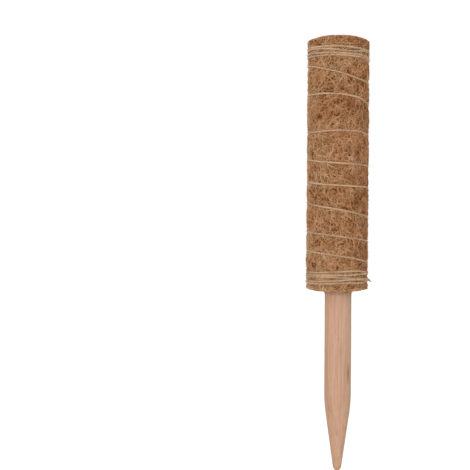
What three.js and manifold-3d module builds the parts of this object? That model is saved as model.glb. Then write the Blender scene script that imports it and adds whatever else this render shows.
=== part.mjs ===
// A coir pole for climbing plants: a pointed wooden stake nailed into a plastic tube, with a coir mat
// rolled round the tube and bound with twine. The tube's open top takes the stake of a second pole.
// Millimetres, +Z up. The origin is on the stake's axis at the foot of the coir, where the soil comes.
// The front is -Y and the right is +X.

import * as THREE from 'three';
import { mergeVertices } from 'three/addons/utils/BufferGeometryUtils.js';
import Module from 'manifold-3d';

// Stake
const stakeDiameter = 25;
const stakeBelowCoir = 168;
const stakeInTube = 60;
const pointLength = 63;
const shoulderEase = 11.5;
const tipDiameter = 6.8;
const tipRounding = 5;
const stakeTopChamfer = 1;

// Tube
const tubeWall = 1.8;
const tubeInset = 1.5;
const socketLeadIn = 0.6;

// Coir mat
const coirLength = 232;
const matThickness = 6.65;
const matEdgeThickness = 2.4;
const lapLength = 30;
const seamAngle = Math.PI / 2;
const rimRounding = 1.5;

// Twine, with the drops of its open spiral in half a turn at the back and two quarter turns at the front
const twineDiameter = 1.6;
const twineSink = 1.5;
const twineBend = 2.5;
const grooveDiameter = 2.8;
const bandRecessSlope = 0.8;
const topBandTurns = 4;
const topBandPitch = 2.7;
const topBandInset = 9;
const bottomBandTurns = 5;
const bottomBandPitch = 2.5;
const bottomBandInset = 7;
const spiralDrops = [
  [5, 10.5, 9],
  [10, -1, 10],
  [27, -4, 4],
  [23, 5, 1],
  [15, 4.5, -1],
  [15.5, 6.5, 8.5],
  [11, 5, 5.5],
  [7, 5.5, 6.5],
];
const lastBackDrop = 7.5;
const heightEase = 0.1;
const tuckTurn = 0.36;
const tailStraight = 1.5;
const tailSlope = THREE.MathUtils.degToRad(25);

// Brads
const bradDiameter = 1.6;
const bradHeadDiameter = 3;
const bradHeadThickness = 0.8;
const bradLength = 12;
const bradPoint = 2.5;
const bradBelowStakeTop = 20;
const bradSpacing = 20;

// Clearances, and how finely round faces are divided
const fitGap = 0.3;
const layerGap = 0.3;
const headSink = 0.2;
const roundSteps = 48;
const bradSteps = 16;
const cornerSteps = 4;
const loopSteps = 24;
const twineSides = 6;

// Sizes that follow from the values above
const fullTurn = 2 * Math.PI;
const stakeRadius = stakeDiameter / 2;
const tubeInnerRadius = stakeRadius + fitGap;
const tubeOuterRadius = tubeInnerRadius + tubeWall;
const coirInnerRadius = tubeOuterRadius + fitGap;
const coirOuterRadius = coirInnerRadius + 2 * matThickness + layerGap;
const twineRadius = twineDiameter / 2;
const twineRouteRadius = coirOuterRadius - twineSink + twineRadius;
const flatShare = Math.cos(Math.PI / twineSides);
const grooveRouteRadius = twineRouteRadius - fitGap + flatShare * (grooveDiameter / 2 - twineRadius);
const bendTurn = twineBend / (fullTurn * twineRouteRadius);
const tuckDepth = twineBend + twineDiameter;
const bradRadius = bradDiameter / 2;
const bradHeadFace = tubeOuterRadius - headSink;

const wasm = await Module();
wasm.setup();

// A closed geometry as a solid that can be joined and cut
function solidFrom(geometry) {
  const bare = geometry.clone();
  bare.deleteAttribute('normal');
  bare.deleteAttribute('uv');
  const merged = mergeVertices(bare);
  const corners = merged.index.array;
  const kept = [];
  for (let i = 0; i < corners.length; i += 3) {
    const [a, b, c] = [corners[i], corners[i + 1], corners[i + 2]];
    if (a !== b && b !== c && c !== a) {
      kept.push(a, b, c);
    }
  }
  const vertProperties = new Float32Array(merged.attributes.position.array);
  const triVerts = new Uint32Array(kept);
  return new wasm.Manifold(new wasm.Mesh({ numProp: 3, vertProperties, triVerts }));
}

// A solid as a geometry that can be shown
function geometryFrom(solid) {
  const mesh = solid.getMesh();
  const geometry = new THREE.BufferGeometry();
  geometry.setAttribute('position', new THREE.BufferAttribute(mesh.vertProperties, 3));
  geometry.setIndex(new THREE.BufferAttribute(mesh.triVerts, 1));
  const faceted = geometry.toNonIndexed();
  faceted.computeVertexNormals();
  return faceted;
}

// A profile of (radius, height) points turned round the Z axis
function turned(points, steps) {
  const geometry = new THREE.LatheGeometry(points, steps);
  geometry.rotateX(Math.PI / 2);
  return geometry;
}

// A point at a radius, an angle and a height
function polar(radius, angle, height) {
  return new THREE.Vector3(radius * Math.cos(angle), radius * Math.sin(angle), height);
}

// Numbers from one value up to another in equal steps, with both ends
function spread(from, to, steps) {
  return Array.from({ length: steps + 1 }, (unused, i) => from + ((to - from) * i) / steps);
}

// Radial directions and heights of the two brads
const bradPlaces = [
  { name: 'left_brad', direction: -1, height: stakeInTube - bradBelowStakeTop },
  { name: 'right_brad', direction: 1, height: stakeInTube - bradBelowStakeTop - bradSpacing },
];

// A turned shape along +Z laid on its brad's axis, with its height 0 on the pole's axis
function onBradAxis(geometry, place) {
  geometry.rotateY((place.direction * Math.PI) / 2);
  geometry.translate(0, 0, place.height);
  return geometry;
}

// A plain rod on a brad's axis, for the holes that the brad goes through
function bradRod(radius, inner, outer, place) {
  const profile = [
    new THREE.Vector2(0, inner),
    new THREE.Vector2(radius, inner),
    new THREE.Vector2(radius, outer),
    new THREE.Vector2(0, outer),
  ];
  return solidFrom(onBradAxis(turned(profile, bradSteps), place));
}

// The stake: rounded tip, straight taper, eased shoulder, straight shank, and a hole for each brad
function makeStake() {
  const tip = -stakeBelowCoir;
  const shoulder = tip + pointLength;
  const tipRadius = tipDiameter / 2;
  const slope = (stakeRadius - tipRadius) / pointLength;
  const outline = new THREE.Path();
  outline.moveTo(0, tip);
  outline.quadraticCurveTo(tipRadius, tip, tipRadius + slope * tipRounding, tip + tipRounding);
  outline.lineTo(stakeRadius - slope * shoulderEase, shoulder - shoulderEase);
  outline.quadraticCurveTo(stakeRadius, shoulder, stakeRadius, shoulder + shoulderEase);
  outline.lineTo(stakeRadius, stakeInTube - stakeTopChamfer);
  outline.lineTo(stakeRadius - stakeTopChamfer, stakeInTube);
  outline.lineTo(0, stakeInTube);
  let solid = solidFrom(turned(outline.getPoints(cornerSteps), roundSteps));
  for (const place of bradPlaces) {
    const holeEnd = bradHeadFace - bradLength - fitGap;
    solid = solid.subtract(bradRod(bradRadius + fitGap, holeEnd, tubeOuterRadius, place));
  }
  return geometryFrom(solid);
}

// The tube: a straight pipe with a small lead-in at the socket's mouth and a sunk hole for each brad
function makeTube() {
  const foot = tubeInset;
  const top = coirLength - tubeInset;
  const outline = new THREE.Path();
  outline.moveTo(tubeInnerRadius, foot);
  outline.lineTo(tubeOuterRadius, foot);
  outline.lineTo(tubeOuterRadius, top);
  outline.lineTo(tubeInnerRadius + socketLeadIn, top);
  outline.lineTo(tubeInnerRadius, top - socketLeadIn);
  outline.lineTo(tubeInnerRadius, foot);
  let solid = solidFrom(turned(outline.getPoints(), roundSteps));
  const headSeat = bradHeadFace - bradHeadThickness - fitGap;
  const outside = tubeOuterRadius + tubeWall;
  for (const place of bradPlaces) {
    solid = solid.subtract(bradRod(bradRadius + fitGap, stakeRadius, outside, place));
    solid = solid.subtract(bradRod(bradHeadDiameter / 2 + fitGap, headSeat, outside, place));
  }
  return geometryFrom(solid);
}

// The radius of the slit between the mat's layers: it starts at the inner edge, rises through the lap to
// the middle of the roll, goes once round, and rises through the lap again to the outer edge.
function slitRadius(angle, lapAngle) {
  const middle = coirInnerRadius + matThickness + layerGap / 2;
  const edge = matEdgeThickness + layerGap / 2;
  const rise = THREE.MathUtils.smoothstep(angle, 0, lapAngle);
  const secondRise = THREE.MathUtils.smoothstep(angle, fullTurn, fullTurn + lapAngle);
  const inner = coirInnerRadius + edge;
  const outer = coirOuterRadius - edge;
  return inner + (middle - inner) * rise + (outer - middle) * secondRise;
}

// The rolled mat seen from above: the inner face is followed from the inner edge to the outer edge, and
// the outer face back again.
function matSection() {
  const lapAngle = lapLength / coirOuterRadius;
  const start = seamAngle - lapAngle;
  const edgeGap = layerGap / coirInnerRadius;
  const slitEnd = fullTurn + lapAngle;
  const lapSteps = Math.ceil((roundSteps * lapAngle) / fullTurn);
  const slit = [
    ...spread(0, lapAngle, lapSteps),
    ...spread(lapAngle, fullTurn - edgeGap, roundSteps - lapSteps).slice(1),
    ...spread(fullTurn, slitEnd, lapSteps),
  ];
  const points = [];
  const add = (radius, angle) => {
    const place = polar(radius, start + angle, 0);
    points.push(new THREE.Vector2(place.x, place.y));
  };
  spread(0, fullTurn - edgeGap, roundSteps).forEach((angle) => add(coirInnerRadius, angle));
  add(slitRadius(0, lapAngle) + layerGap / 2, fullTurn - edgeGap);
  slit.forEach((angle) => add(slitRadius(angle, lapAngle) + layerGap / 2, angle));
  spread(slitEnd, lapAngle, roundSteps).slice(0, -1).forEach((angle) => add(coirOuterRadius, angle));
  add(coirOuterRadius, lapAngle + edgeGap);
  add(slitRadius(slitEnd, lapAngle) - layerGap / 2, lapAngle + edgeGap);
  slit.reverse().forEach((angle) => add(slitRadius(angle, lapAngle) - layerGap / 2, angle));
  return new THREE.Shape(points);
}

// A barrel that trims the roll, so that its two outer rims are rounded
function rimBarrel() {
  const side = coirOuterRadius + fitGap;
  const round = rimRounding + fitGap;
  const outline = new THREE.Path();
  outline.moveTo(0, 0);
  outline.lineTo(side - round, 0);
  outline.absarc(side - round, round, round, -Math.PI / 2, 0);
  outline.lineTo(side, coirLength - round);
  outline.absarc(side - round, coirLength - round, round, 0, Math.PI / 2);
  outline.lineTo(0, coirLength);
  return solidFrom(turned(outline.getPoints(cornerSteps / 2), roundSteps));
}

// The slot in the coir that the twine's upper end is pushed into
function tuckSlot() {
  const width = twineDiameter + 2 * fitGap;
  const floor = twineRouteRadius - tuckDepth - fitGap;
  const mouth = coirOuterRadius + fitGap;
  const far = twineBend + fitGap;
  const near = -twineRadius - fitGap;
  const box = new THREE.BoxGeometry(mouth - floor, far - near, width);
  box.translate((mouth + floor) / 2, (far + near) / 2, 0);
  box.rotateZ(fullTurn * tuckTurn);
  box.translate(0, 0, twineHeight(tuckTurn));
  return solidFrom(box);
}

// The groove that the open spiral of the twine presses into the coir
function spiralGroove() {
  const turns = winding(grooveRouteRadius, topBandEnd, bottomBandStart);
  return solidFrom(tubeAlong(turns, grooveDiameter / 2, twineSides));
}

// The recess that a close band of the twine presses into the coir, between its last and first turn
function bandRecess(lastTurn, firstTurn) {
  const floor = twineRouteRadius - twineRadius - fitGap;
  const outside = coirOuterRadius + fitGap;
  const low = twineHeight(lastTurn) - twineRadius - fitGap;
  const high = twineHeight(firstTurn) + twineRadius + fitGap;
  const profile = [
    new THREE.Vector2(floor, low),
    new THREE.Vector2(outside, low - bandRecessSlope),
    new THREE.Vector2(outside, high + bandRecessSlope),
    new THREE.Vector2(floor, high),
    new THREE.Vector2(floor, low),
  ];
  return solidFrom(turned(profile, loopSteps));
}

// Room in the coir for the bend of the twine's tail
function tailRoom() {
  return solidFrom(tubeAlong(twineTail(), twineRadius + fitGap / flatShare, twineSides));
}

// The coir mat: rolled section, rounded rims, and the places that the twine presses into it
function makeCoir() {
  const roll = new THREE.ExtrudeGeometry(matSection(), { depth: coirLength, bevelEnabled: false });
  let solid = solidFrom(roll).intersect(rimBarrel());
  const presses = [
    bandRecess(topBandEnd, tuckTurn),
    spiralGroove(),
    bandRecess(tailTurn, bottomBandStart),
    tuckSlot(),
    tailRoom(),
  ];
  for (const press of presses) {
    solid = solid.subtract(press);
  }
  return geometryFrom(solid);
}

// Turns are counted from the right, and go by the back to the left, to the front and to the right again.
// The front of the first turn is at 0.75.
const firstFront = 0.75;
const topBandEnd = topBandTurns;
const bottomBandStart = topBandEnd + spiralDrops.length + 0.5;
const tailTurn = bottomBandStart + bottomBandTurns - 0.5;

// Heights of the twine along its winding, as pairs of turn and height
function windingKnots() {
  const topBand = (turn) => coirLength - topBandInset - (turn - firstFront) * topBandPitch;
  const bottomBand = (turn) => bottomBandInset + (tailTurn - 0.25 - turn) * bottomBandPitch;
  const knots = [[0, topBand(0)], [topBandEnd, topBand(topBandEnd)]];
  const drops = [...spiralDrops.flat(), lastBackDrop];
  const wholeDrop = drops.reduce((sum, drop) => sum + drop, 0);
  const stretch = (topBand(topBandEnd) - bottomBand(bottomBandStart)) / wholeDrop;
  let turn = topBandEnd;
  let height = topBand(topBandEnd);
  drops.forEach((drop, i) => {
    turn += i % 3 === 0 ? 0.5 : 0.25;
    height -= drop * stretch;
    knots.push([turn, height]);
  });
  knots.push([tailTurn + 1, bottomBand(tailTurn + 1)]);
  return knots;
}

const knots = windingKnots();

// The twine's height at a turn, with the corners between its stretches eased
function twineHeight(turn) {
  const straight = (at) => {
    const i = Math.max(1, knots.findIndex((knot) => knot[0] >= at));
    const [before, after] = [knots[i - 1], knots[i]];
    return THREE.MathUtils.mapLinear(at, before[0], after[0], before[1], after[1]);
  };
  return (straight(turn - heightEase) + straight(turn) + straight(turn + heightEase)) / 3;
}

// A quarter bend from one direction into another that is square to it
function quarterBend(from, heading, towards) {
  const steps = loopSteps / 4;
  return spread(0, Math.PI / 2, steps).map((angle) => from.clone()
    .addScaledVector(heading, twineBend * Math.sin(angle))
    .addScaledVector(towards, twineBend * (1 - Math.cos(angle))));
}

// The twine's turns round the coir at a radius, from one turn to another
function winding(radius, from, to) {
  const steps = spread(Math.ceil(from * loopSteps), Math.floor(to * loopSteps), wholeSteps(from, to));
  return steps.map((step) => polar(radius, (fullTurn * step) / loopSteps, twineHeight(step / loopSteps)));
}

// The number of whole steps of the winding between two turns
function wholeSteps(from, to) {
  return Math.floor(to * loopSteps) - Math.ceil(from * loopSteps);
}

// The twine's upper end: straight out of its slot, and a bend into the winding
function twineTuck() {
  const angle = fullTurn * tuckTurn;
  const height = twineHeight(tuckTurn);
  const outward = polar(1, angle, 0);
  const around = polar(1, angle + Math.PI / 2, 0);
  const slotEnd = polar(twineRouteRadius - tuckDepth, angle, height);
  const bendStart = polar(twineRouteRadius - twineBend, angle, height);
  return [slotEnd, ...quarterBend(bendStart, outward, around)];
}

// The twine's lower end: a bend off the coir at the right, and a short straight tail
function twineTail() {
  const angle = fullTurn * (tailTurn - bendTurn);
  const leave = polar(twineRouteRadius, angle, twineHeight(tailTurn));
  const around = polar(1, angle + Math.PI / 2, 0);
  const off = new THREE.Vector3(Math.cos(tailSlope), 0, -Math.sin(tailSlope));
  const bend = quarterBend(leave, around, off);
  const tailEnd = bend[bend.length - 1].clone().addScaledVector(off, tailStraight);
  return [...bend, tailEnd];
}

// The twine's whole route
function twineRoute() {
  const turns = winding(twineRouteRadius, tuckTurn + 2 * bendTurn, tailTurn - 2 * bendTurn);
  return [...twineTuck(), ...turns, ...twineTail()];
}

// The least gap between stretches of the twine that lie half a turn or more apart along it
function leastGap(route) {
  let least = Infinity;
  for (let i = 0; i < route.length; i += 1) {
    for (let j = i + loopSteps / 2; j < route.length; j += 1) {
      least = Math.min(least, route[i].distanceTo(route[j]) - twineDiameter);
    }
  }
  return least;
}

// A round tube along a route, closed at both ends
function tubeAlong(route, radius, sides) {
  const places = [];
  const faces = [];
  const side = new THREE.Vector3(0, 0, 1);
  route.forEach((point, i) => {
    const before = route[Math.max(i - 1, 0)];
    const after = route[Math.min(i + 1, route.length - 1)];
    const along = after.clone().sub(before).normalize();
    side.addScaledVector(along, -side.dot(along)).normalize();
    const across = along.clone().cross(side);
    for (let k = 0; k < sides; k += 1) {
      const angle = (fullTurn * k) / sides;
      const corner = point.clone();
      corner.addScaledVector(side, radius * Math.cos(angle));
      corner.addScaledVector(across, radius * Math.sin(angle));
      places.push(corner);
    }
  });
  for (let ring = 0; ring + sides < places.length; ring += sides) {
    for (let k = 0; k < sides; k += 1) {
      const next = (k + 1) % sides;
      faces.push(ring + k, ring + next, ring + sides + next);
      faces.push(ring + k, ring + sides + next, ring + sides + k);
    }
  }
  const end = places.length - sides;
  for (let k = 1; k + 1 < sides; k += 1) {
    faces.push(0, k + 1, k);
    faces.push(end, end + k, end + k + 1);
  }
  const geometry = new THREE.BufferGeometry().setFromPoints(places);
  geometry.setIndex(faces);
  geometry.computeVertexNormals();
  return geometry;
}

// The twine: one unbroken tube, with the gap between its turns printed
function makeTwine() {
  const route = twineRoute();
  console.log(`least gap between the twine's turns: ${leastGap(route).toFixed(2)} mm`);
  return tubeAlong(route, twineRadius, twineSides);
}

// A brad: flat head, straight shank and a point, laid on its axis with the head sunk in the tube
function makeBrad(place) {
  const neck = bradHeadFace - bradHeadThickness;
  const point = bradHeadFace - bradLength;
  const profile = [
    new THREE.Vector2(0, point),
    new THREE.Vector2(bradRadius, point + bradPoint),
    new THREE.Vector2(bradRadius, neck),
    new THREE.Vector2(bradHeadDiameter / 2, neck),
    new THREE.Vector2(bradHeadDiameter / 2, bradHeadFace),
    new THREE.Vector2(0, bradHeadFace),
  ];
  return geometryFrom(solidFrom(onBradAxis(turned(profile, bradSteps), place)));
}

const pole = new THREE.Group();

function addPiece(name, geometry, color, roughness, metalness) {
  const material = new THREE.MeshStandardMaterial({ color, roughness, metalness });
  const piece = new THREE.Mesh(geometry, material);
  piece.name = name;
  pole.add(piece);
}

addPiece('stake', makeStake(), 0xc59e84, 0.75, 0);
addPiece('core_tube', makeTube(), 0xbdb9ae, 0.5, 0);
addPiece('coir_mat', makeCoir(), 0x997050, 0.95, 0);
addPiece('jute_twine', makeTwine(), 0xa98a69, 0.9, 0);
for (const place of bradPlaces) {
  addPiece(place.name, makeBrad(place), 0x8d8e92, 0.4, 1);
}

export default pole;
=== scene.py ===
"""The looks of a coir pole for climbing plants: a coir roll bound with twine, on a pointed wooden stake.

Sizes are in millimetres and the meshes in metres, +Z up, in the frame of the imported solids. The front is -Y
and the right is +X. Angles and turns are counted from the right, and go by the back to the left.
"""
import math
from dataclasses import dataclass

import bpy
import numpy as np
from mathutils import Matrix, Vector


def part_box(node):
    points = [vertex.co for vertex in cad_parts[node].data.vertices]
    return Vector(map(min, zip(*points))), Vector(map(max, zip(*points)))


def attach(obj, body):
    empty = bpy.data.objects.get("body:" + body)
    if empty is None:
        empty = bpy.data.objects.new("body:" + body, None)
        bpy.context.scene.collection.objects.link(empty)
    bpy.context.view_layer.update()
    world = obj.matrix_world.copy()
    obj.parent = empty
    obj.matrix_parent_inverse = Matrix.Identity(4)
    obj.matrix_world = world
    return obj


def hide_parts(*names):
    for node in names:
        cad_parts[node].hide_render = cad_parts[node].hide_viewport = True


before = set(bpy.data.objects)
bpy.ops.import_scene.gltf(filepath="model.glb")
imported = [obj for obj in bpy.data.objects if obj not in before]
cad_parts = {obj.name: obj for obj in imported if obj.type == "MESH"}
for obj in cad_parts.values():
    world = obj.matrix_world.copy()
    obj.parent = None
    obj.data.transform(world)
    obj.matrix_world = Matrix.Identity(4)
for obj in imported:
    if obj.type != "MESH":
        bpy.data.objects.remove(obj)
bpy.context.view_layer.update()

MM = 0.001
TAU = 2 * math.pi
BODY = "root"

# Sizes read from the solids, and the tube's wall and the coir's gap as they are there
coir_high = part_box("coir_mat")[1]
stake_low, stake_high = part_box("stake")
tube_low, tube_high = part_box("core_tube")
COIR_LENGTH = coir_high.z / MM
COIR_RADIUS = coir_high.y / MM
STAKE_RADIUS = stake_high.y / MM
STAKE_TIP = stake_low.z / MM
STAKE_TOP = stake_high.z / MM
TUBE_RADIUS = tube_high.y / MM
TUBE_FOOT = tube_low.z / MM
TUBE_TOP = tube_high.z / MM
TUBE_WALL = 1.8
TUBE_BORE = TUBE_RADIUS - TUBE_WALL
COIR_GAP = 0.3
COIR_BORE = TUBE_RADIUS + COIR_GAP

# Stake, as in the solids: rounded tip, straight taper, eased shoulder and chamfered top
POINT_LENGTH = 63
SHOULDER_EASE = 11.5
TIP_RADIUS = 3.4
TIP_ROUNDING = 5
TOP_CHAMFER = 1

# Mesh of the stake: a small flat at its tip, rows of each stretch, and steps round it and the tube
TIP_FLAT = 0.3
TIP_ROWS = 10
TAPER_ROWS = 40
SHOULDER_ROWS = 14
SHANK_ROWS = 90
ROUND_STEPS = 96

# Surface of the stake, as noise: layers of (weight, cells round the turn, cells up, seed)
GRAIN_RIDGES = [(0.05, 60, 5, 51)]
FLAT_PLACES = [(0.1, 5, 4, 52)]

# Brown knot low on the right of the stake's front: its place and half sizes, in metres
KNOT_PLACE = (9.3 * MM, -8.4 * MM, -77 * MM)
KNOT_SIZE = (3.2 * MM, 3.2 * MM, 11 * MM)

# Rounded edges of the tube, and the rows of each
TUBE_EDGE = 0.35
EDGE_ROWS = 4

# Winding of the twine, as in the solids
TWINE_DIAMETER = 1.6
TWINE_SINK = 0.7
TWINE_RADIUS = COIR_RADIUS - TWINE_SINK
TURN_LENGTH = TAU * TWINE_RADIUS
TUCK_BEND = 2.5
TUCK_TURN = 0.36
FIRST_FRONT = 0.75
TOP_BAND_TURNS = 4
TOP_BAND_PITCH = 2.7
TOP_BAND_INSET = 9
BOTTOM_BAND_TURNS = 5
BOTTOM_BAND_PITCH = 2.5
BOTTOM_BAND_INSET = 7
HEIGHT_EASE = 0.1

# Open turns between the bands: shares of the fall over each one's back half and two front quarters
DROP_TURNS = (0.5, 0.25, 0.25)
SPIRAL_DROPS = [
    (5, 10.5, 9), (10, -1, 10), (27, -4, 4), (23, 5, 1),
    (15, 4.5, -1), (15.5, 6.5, 8.5), (11, 5, 5.5), (7, 5.5, 6.5),
]
LAST_BACK_DROP = 7.5
SPIRAL_END = TOP_BAND_TURNS + len(SPIRAL_DROPS)
BOTTOM_BAND_START = SPIRAL_END + DROP_TURNS[0]
TAIL_TURN = SPIRAL_END + BOTTOM_BAND_TURNS

# How the twine strays up and down from that winding: (turn, distance)
TWINE_STRAY = [
    (0.75, 0), (0.88, -1.4), (1.25, 0),
    (1.6, 1.2), (1.8, -2.2), (1.87, 0.3), (2.2, 0),
    (2.6, -0.4), (2.74, -1.2), (2.86, -1.2), (2.93, -2.1), (3.25, 0),
    (3.6, -0.4), (3.7, 0), (3.93, -1.2), (4.2, 0),
    (4.7, 0), (4.84, -1.6), (4.97, 0),
    (12.4, 0), (12.56, -1.1), (12.86, 1.5), (12.93, 0.2), (13.2, 0),
    (13.56, -0.9), (13.79, 0.2), (13.88, 2), (14.2, 0),
    (14.72, 0.6), (14.78, -0.5), (14.91, -1), (14.98, 0.1), (15.2, 0),
    (15.57, -2.1), (15.76, 0.1), (15.81, 1.5), (15.95, 0.8), (16.2, 0),
    (16.58, -1.1), (16.77, 0.7), (16.9, 0.7), (16.97, 3.8),
]
STRAY_EASE = 0.03

# Tail of the twine: it comes up over the turn above it, leaves the coir, and ends thinner and darker
TAIL_LIFT = 1.1
TAIL_LIFT_TURN = 0.06
TAIL_BEND = 1.5
TAIL_STRAIGHT = 2.7
TAIL_SLOPE = math.radians(40)
TAIL_TAPER = 3.5
TAIL_END_SHARE = 0.3
TAIL_SHADE = (1, 11)

# Points of the twine's route, and its small wavers as noise: up and down, and in and out
BEND_POINTS = 8
WINDING_POINTS = 4000
WAVER = [(0.32, 95, 1, 31)]
SETTLE = [(0.12, 240, 1, 32)]

# Yarn of the twine: two plies with their noise of thickness and tone, fuller and darker in the bands
PLY_STEP = 0.8
PLY_OFFSET = 0.44
PLY_RADIUS = 0.5
PLY_TWIST = 5.2
PLY_SIDES = 6
PLY_STRETCH = 60
PLY_SWELLS = [[(0.12, 700, 1, 41)], [(0.12, 700, 1, 42)]]
PLY_TONE = 0.5
PLY_SHADES = [[(0.2, 420, 1, 43), (0.1, 150, 1, 45)], [(0.2, 420, 1, 44), (0.1, 150, 1, 45)]]
BAND_FADE = TURN_LENGTH / 4
BAND_FULLER = 0.2
BAND_DARKER = 0.08

# Hairs of the yarn: how many, the first and last points that they start at, and how they stand off
HAIRS_ANYWHERE = 4200
HAIRS_IN_BANDS = 3000
FIRST_HAIR = 20
LAST_HAIR = -10
HAIR_SEED = 300
HAIR_POINTS = 5
HAIR_SIDES = 3
HAIR_RADIUS = (0.035, 0.08)
BAND_HAIR_FULLER = 0.5
HAIR_ROOT = 0.42 * TWINE_DIAMETER
HAIR_REACH = (1, 4)
HAIR_SWAY = 0.25
HAIR_STAND = (0.09, 0.9)
HAIR_RISE = 1.6
HAIR_TONE = (0.5, 1)

# Roll of the coir mat, as in the solids: its edge with half the layers' gap, and its lap at the back
MAT_EDGE = 2.55
LAP_LENGTH = 30
LAP_ANGLE = LAP_LENGTH / COIR_RADIUS
SEAM_ANGLE = TAU / 4

# Form of the roll: rounded rims, worn low on the left, a middle off to the left, and uneven ends
RIM_ROUNDING = 1.3
WORN_ROUNDING = 1
WORN_ANGLE = math.radians(195)
WORN_SPREAD = math.radians(35)
OFF_CENTRE = 1.3
END_SHORT = 0.3
END_WAVE = 1.05
END_TILT = 0.8
END_REACH = 7

# Side of the coir: depth of its bed under the fibres, and how it swells, sinks, is pressed and parts
BED_DEPTH = 1.5
SWELL = 0.5
SWELL_REACH = 5
PIT_DEPTH = 0.65
PIT_EDGES = (0.32, 0.85)
PRESS_REACH = (0.5, 1.5)
PRESS_DEPTH = 0.7
PRESSED_RADIUS = TWINE_RADIUS - TWINE_DIAMETER / 2 - PRESS_DEPTH
SEAM_DEPTH = 1.3
SEAM_EDGE = 0.4
SEAM_REACH = (0.8, 6)

# Noise over the side: lumps, pits, the drift that makes the pits ragged, and patches of tone
LUMPS = [(0.245, 22, 29, 11), (0.28, 48, 62, 12), (0.245, 90, 120, 13)]
PITS = [(1, 74, 96, 14), (0.4, 160, 208, 21)]
PIT_DRIFT_ROUND = [(0.006, 80, 104, 19)]
PIT_DRIFT_UP = [(0.005, 80, 104, 20)]
PATCHES = [(0.04, 9, 11, 15), (0.08, 20, 26, 16), (0.06, 36, 46, 18)]

# Ends of the coir: how far they lie in, the slit between the layers, and their roughness
END_SINK = 0.4
SLIT_DEPTH = 2.2
SLIT_REACH = 0.8
END_ROUGHNESS = [(0.3, 60, 24, 17)]

# Mesh of the coir's bed: rows of its side, ends and bore, and steps round it
SIDE_ROWS = 262
END_ROWS = 26
BORE_ROWS = 3
BED_STEPS = 240

# Tone of the coir: paler on the left of its front, painted light from the left, and paler at its foot,
# painted light from below
PAINTED_LIGHT_ANGLE = math.radians(200)
PAINTED_LIGHT_SIDE = 0.07
FOOT_PAINTED_LIGHT = 0.14
FOOT_PAINTED_LIGHT_REACH = 3.5

# Darker spots on the front of the coir: (degrees, height, spread, depth of tone)
DARK_SPOTS = [
    (226, 158.5, 2.8, 0.6),
    (299, 127, 5, 0.16),
    (295, 100, 4, 0.16),
    (284, 168, 4, 0.14),
]

# Fibres of the coir: their widths, how they thin out and wave, and where along each its ends dive in
FIBRE_POINTS = 12
FIBRE_SIDES = 3
FIBRE_THINNING = 0.55
FIBRE_WAVES = (7, 16)
SIDE_WIDTHS = (0.26, 0.62)
END_WIDTHS = (0.24, 0.5)
FIBRE_ZONES = ("foot", "lower", "middle", "upper", "top")
ZONE_SEED = 100
END_SEED = 200
ALONG = np.linspace(0, 1, FIBRE_POINTS)
FROM_MIDDLE = np.abs(2 * ALONG - 1)
DIVE = FROM_MIDDLE**4
# Painted shade: how much darker a fibre is where its ends dive in
DIVE_PAINTED_SHADE = 0.1

# Fibres on the side: they lie in layers, ripple, dive in and are held by the twine; lower layers and fibres
# in pits are darker, painted shade of the depths
SIDE_MARGIN = 0.5
SIDE_LIFT = 0.15
LAYER_LIFT = 0.95
RIPPLE_LIFT = 0.28
RIPPLES = (0.6, 2.2)
SIDE_DIVE = 0.75
HELD_SHARE = 0.75
SIDE_PROUD = 0.5
LAYER_PAINTED_SHADE = 0.14
PIT_PAINTED_SHADE = 0.48

# Loose fibres that stand off the side in arches, a share of them as half an arch with a free end
ARCH_MARGIN = 1
ARCH_HEIGHT = (0.5, 1.4)
ARCH_ROOT = 0.8
FREE_SHARE = 0.4

# Fibres on the ends: they lie mostly along the layers, dive in, and sink in the slit, where they are darker
# with painted shade
END_SWEEP = 0.25
END_START_INSET = 2
END_INSET = 1.2
END_DEPTH = 0.25
END_LAYER_LIFT = 0.5
END_DIVE = 0.5
SLIT_SINK = 1.6
SLIT_SINK_REACH = 0.75
SLIT_PAINTED_SHADE = 0.35

# Cut stubs on the ends: how far they keep from bore and rim, and how they stand and lean
STUB_BORE_INSET = 0.5
STUB_RIM_INSET = 1.5
STUB_RIM_LIMIT = 1
STUB_ROOT = 1.1
STUB_LEAN = 1.5
# Painted shade: stubs darker at their roots and paler towards their tips
STUB_PAINTED_SHADE = 0.15

# Fibres round the rims: how far they lie from the edge and below it, and where they are worn in
RIM_REACH = 1.6
RIM_DEPTH = (0.1, 0.5)
RIM_DIVE = 0.5
# Painted shade: rim fibres darker where their ends dive in
RIM_DIVE_PAINTED_SHADE = 0.15
# Painted light: rim fibres paler on the left of the front
RIM_PAINTED_LIGHT_SIDE = 0.06
WORN_DEPTH = 0.45
WORN_REACH = 1.2
WORN_PALE = 0.15

# Skirt of fibres that hang from the foot round the stake
SKIRT_ROOM = (0.4, 1.5)
SKIRT_ROOT = 1.5
SKIRT_SPLAY = 1.1
SKIRT_CURL = 0.7
SKIRT_GAP = 0.3

# Tubes: tilts that give paths straight out from the axis a frame too, and the layout of a map's cell
FRAME_TILT = 0.013
TWINE_TILT = 0.02
TINY = 1e-12
CELL_ENDS = 0.1
CELL_GAP = 0.05
FIRST_CAP = ((0.02, 0), (0.08, 0), (0.05, 0.7))
LAST_CAP = ((0.92, 0), (0.95, 0.7), (0.98, 0))
NO_TRIANGLES = np.zeros((0, 3), int)

# Sockets of a mix node for colours: its factor and two colours, and its result
MIX_INPUTS = (0, 6, 7)
MIX_OUTPUT = 2

# Photograph: pixel places in its 470 by 470 frame, and the camera that they give
PHOTO_SIZE = 470
COIR_FOOT_PIXEL = (338.95, 288.4)
MM_PER_PIXEL = 0.9324
CAMERA_DISTANCE = 1030
LEAN = math.radians(0.4)

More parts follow.
